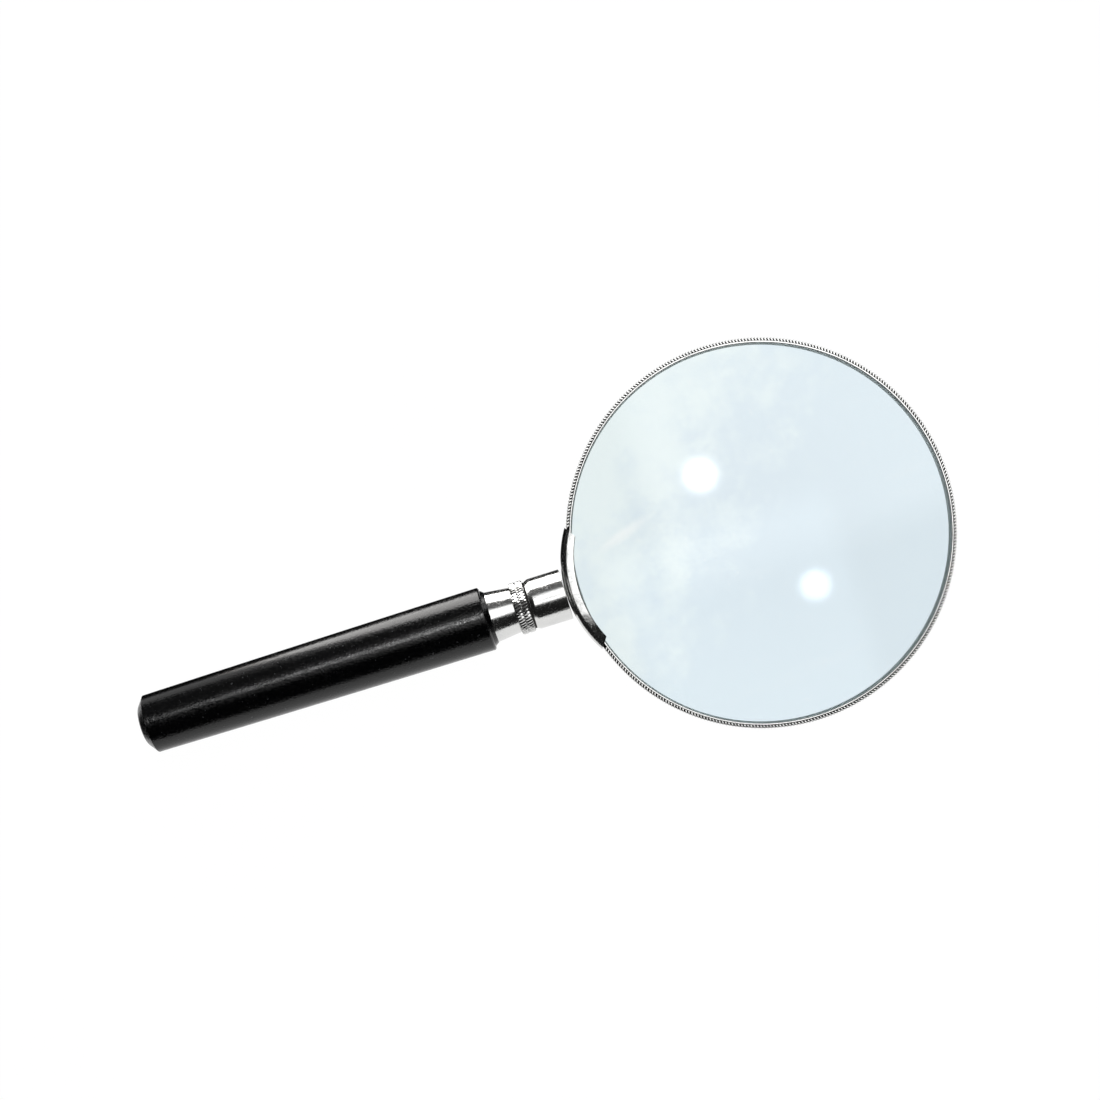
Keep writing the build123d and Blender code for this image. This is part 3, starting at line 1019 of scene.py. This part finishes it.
softbox("far_box", (0.8, 1.5, 0.3), (0, 0, 0.3), 2.4, 0.6, 2.0)
softbox("near_box", (0, -1.5, 0.28), (0, 0, 0.28), 3.0, 0.55, 1.0)
lid = softbox("lid", (0.1, 0.175, 1.0), (0.1, 0.175, 0), 0.5, 0.65, 0.8)
bright_strip = softbox("bright_strip", (-0.03, 0.325, 1.1), (-0.03, 0.325, 0), 0.22, 0.075, 27.0)
dim_strip = softbox("dim_strip", (-0.26, 0.325, 1.1), (-0.26, 0.325, 0), 0.24, 0.075, 8.0)


def only_lights(light, name, *pieces):
    """Links a light to these pieces, so that nothing else is lit by it."""
    lit = bpy.data.collections.new(name)
    for piece in pieces:
        lit.objects.link(piece)
    light.light_linking.receiver_collection = lit


only_lights(lid, "lit_by_lid", rim, milling, yoke, neck, collar, teeth, ferrule)
only_lights(bright_strip, "lit_by_bright_strip", handle)
only_lights(dim_strip, "lit_by_dim_strip", handle)

# A glowing card stands close along the far side of the handle and neck, lower towards the butt,
# and a black card lies between them, with another standing beyond the butt. They draw the bright
# band there, and the black card paints the shade beside the handle into its reflections as a dark
# outline. Only reflections see them.
GLOW_X = (-74.0 * MM, 7.0 * MM)
GLOW_Y = 20.0 * MM
GLOW_HEIGHT = 16.0 * MM
GLOW_STEPS = 24
CARD_X = (-95.0 * MM, 9.0 * MM)
CARD_Y = (7.0 * MM, 20.0 * MM)
CARD_Z = 0.5 * MM
BUTT_CARD_Y = -7.0 * MM
BUTT_CARD_HEIGHT = 60.0 * MM


def seen_in_reflections_only(piece):
    piece.visible_camera = False
    piece.visible_diffuse = False
    piece.visible_transmission = False
    piece.visible_shadow = False


glowing = Finish("glowing_card")
along_x = glowing.node("ShaderNodeSeparateXYZ", None, {0: glowing.place}, "X")
fade = along_x.between(-85.0 * MM, -45.0 * MM)
warm = glowing.mix(fade, (1.0, 0.95, 0.9, 1), (1.0, 0.985, 0.97, 1))
shine = glowing.node("ShaderNodeEmission", sockets={"Color": warm, "Strength": fade * 6.2})
glowing.cover(shine)
glow_shape = bmesh.new()
feet = []
tops = []
for step in range(GLOW_STEPS + 1):
    share = 1 - step / GLOW_STEPS
    x = GLOW_X[1] + (GLOW_X[0] - GLOW_X[1]) * share
    feet.append(glow_shape.verts.new((x, GLOW_Y, 0.0)))
    tops.append(glow_shape.verts.new((x, GLOW_Y, GLOW_HEIGHT * (1.02 - share**2))))
for step in range(GLOW_STEPS):
    glow_shape.faces.new((feet[step], feet[step + 1], tops[step + 1], tops[step]))
glow = plain_mesh("glow_card", glow_shape, [glowing.material])
seen_in_reflections_only(glow)
only_lights(glow, "lit_by_glow", neck, collar, teeth, ferrule, handle)

# The flash that the lens mirrors twice, once in each face: a round lamp, brightest in its middle.
FLASH_AT = Vector((57.0 * MM, 152.0 * MM, 1.1))
FLASH_RADIUS = 90.0 * MM
FLASH_STRENGTH = 30.0
CEILING = 1.5
flash_glow = Finish("flash_glow")
from_flash = flash_glow.node("ShaderNodeMapping", {"vector_type": "TEXTURE"}, {
    "Vector": flash_glow.place, "Location": FLASH_AT, "Scale": [FLASH_RADIUS] * 3,
})
flash_out = flash_glow.node(
    "ShaderNodeVectorMath", {"operation": "LENGTH"}, {0: from_flash}, "Value",
)
bright = CEILING + (1.0 - flash_out.between(0.1, 1.0)) ** 4.0 * FLASH_STRENGTH
flash_glow.cover(flash_glow.node("ShaderNodeEmission", sockets={
    "Color": (1.0, 1.0, 1.0, 1), "Strength": bright,
}))
flash_shape = bmesh.new()
bmesh.ops.create_circle(flash_shape, cap_ends=True, segments=64, radius=FLASH_RADIUS)
bmesh.ops.translate(flash_shape, vec=FLASH_AT, verts=flash_shape.verts)
flash = plain_mesh("flash_lamp", flash_shape, [flash_glow.material])
seen_in_reflections_only(flash)
flash.visible_transmission = True
only_lights(flash, "lit_by_flash", lens)

# A black sheet standing in for the shade beside the handle and beyond its butt: painted shade, seen
# only in reflections.
black_card = Finish("black_card")
nap = black_card.noise(1.0, 2.0)
card_tone = black_card.mix(nap, (0.004, 0.004, 0.004, 1), (0.008, 0.008, 0.008, 1))
black_card.cover(black_card.principled({"Base Color": card_tone, "Roughness": 0.9}))
card_shape = bmesh.new()
lying = [(x, y, CARD_Z) for x, y in zip(sorted(CARD_X * 2), CARD_Y + CARD_Y[::-1])]
stands_at = [(BUTT_CARD_Y, CARD_Z), (CARD_Y[1], CARD_Z), (CARD_Y[1], BUTT_CARD_HEIGHT),
             (BUTT_CARD_Y, BUTT_CARD_HEIGHT)]
standing = [(CARD_X[0], y, z) for y, z in stands_at]
for corners in (lying, standing):
    card_shape.faces.new([card_shape.verts.new(corner) for corner in corners])
card = plain_mesh("card", card_shape, [black_card.material])
seen_in_reflections_only(card)

world = bpy.data.worlds.new("studio")
bpy.context.scene.world = world
world.use_nodes = True
studio = Nodes(world.node_tree)
direction = studio.node("ShaderNodeTexCoord", output="Generated")
dx, dy, dz = (studio.node("ShaderNodeSeparateXYZ", None, {0: direction}, axis) for axis in "XYZ")
lean_x = dx / dz
lean_y = dy / dz
across_x = lean_x.between(-0.15, -0.04) * (1.0 - lean_x.between(0.5, 0.7))
across_y = lean_y.between(-0.14, -0.02) * (1.0 - lean_y.between(0.58, 0.78))
ceiling = across_x * across_y * (dz > 0.0)
far_side = dy.between(0.3, 0.6)
background = studio.node("ShaderNodeBackground", sockets={
    "Color": (1.0, 1.0, 1.0, 1), "Strength": 0.012 + far_side * 0.1 + ceiling * CEILING,
})
studio.node("ShaderNodeOutputWorld", sockets={"Surface": background})

view = bpy.data.cameras.new("camera")
view.sensor_width = 36.0
view.lens = view.sensor_width * CAMERA_HEIGHT / CAMERA_VIEW
view.clip_start = 0.01
camera = bpy.data.objects.new("camera", view)
camera.location = (CAMERA_X, CAMERA_Y, AXIS_Z + CAMERA_HEIGHT)
camera.rotation_euler = (0, 0, CAMERA_TURN)
bpy.context.scene.collection.objects.link(camera)
bpy.context.scene.camera = camera
bpy.context.scene.view_settings.view_transform = "Standard"

bpy.context.view_layer.update()
